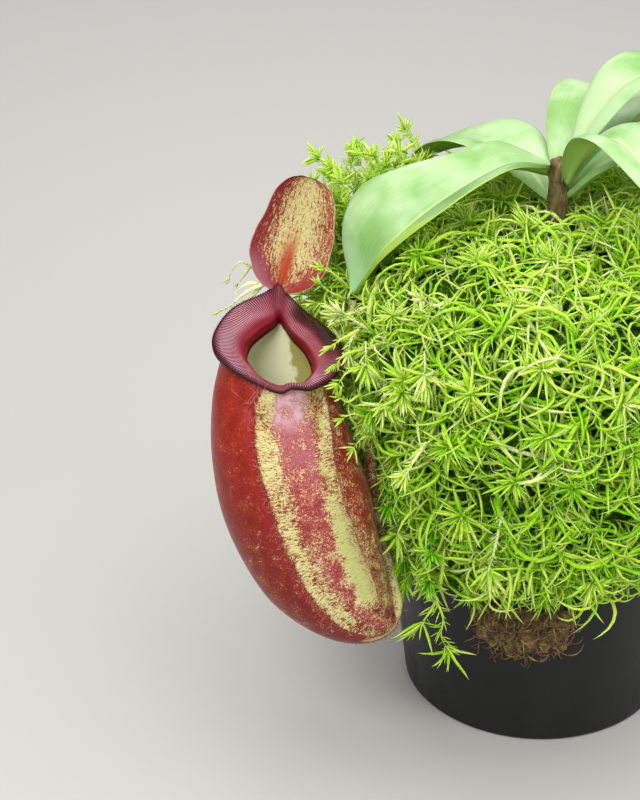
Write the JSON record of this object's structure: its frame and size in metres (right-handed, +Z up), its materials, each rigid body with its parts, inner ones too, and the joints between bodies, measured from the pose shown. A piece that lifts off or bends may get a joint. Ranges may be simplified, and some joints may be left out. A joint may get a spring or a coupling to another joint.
{
  "type": "potted nepenthes hybrid",
  "caption": "Tropical pitcher plant in a tapered plastic pot topped with live sphagnum, its large speckled red trap with a ribbed dark lip hanging beside the pot.",
  "frame": {"origin": "middle of the pot's flat underside", "axes": "+Z up; the trap hangs at the pot's side towards -X and -Y, and its mouth faces -Y"},
  "size_m": [0.2484, 0.1942, 0.2712],
  "materials": {
    "pot_plastic": "moulded dark grey plastic, satin",
    "growing_mix": "damp bark and fibre mix, matte",
    "root": "dark wiry roots, matte",
    "stem_bark": "thin woody stem, matte",
    "live_moss": "live sphagnum strands, soft and matte",
    "dead_moss": "dry brown sphagnum and bark shreds, matte",
    "leaf_blade": "waxy green leaf, satin",
    "tendril_skin": "smooth green to reddish tendril, satin",
    "trap_skin": "red trap skin speckled with yellow green, satin",
    "trap_lip": "glossy ribbed burgundy collar",
    "trap_lid": "thin leafy lid, yellow green mottled with red"
  },
  "bodies": {
    "root": {"pot": "pot_plastic", "growing_mix": "growing_mix", "roots": "root", "stem": "stem_bark", "moss_cushion": "live_moss", "moss_clump_1": "live_moss", "moss_clump_2": "live_moss", "moss_clump_3": "live_moss", "moss_clump_4": "live_moss", "moss_clump_5": "live_moss", "moss_clump_6": "live_moss", "moss_clump_7": "live_moss", "moss_clump_8": "live_moss", "dead_moss": "dead_moss", "leaf_trap": "leaf_blade", "leaf_1": "leaf_blade", "leaf_2": "leaf_blade", "leaf_3": "leaf_blade", "leaf_4": "leaf_blade", "leaf_5": "leaf_blade", "leaf_1_tendril": "tendril_skin", "leaf_2_tendril": "tendril_skin", "leaf_3_tendril": "tendril_skin", "leaf_4_tendril": "tendril_skin", "leaf_5_tendril": "tendril_skin", "trap_tendril": "tendril_skin", "trap_cup": "trap_skin", "trap_lip": "trap_lip", "trap_lid": "trap_lid", "trap_spur": "trap_lid"}
  },
  "joints": []
}
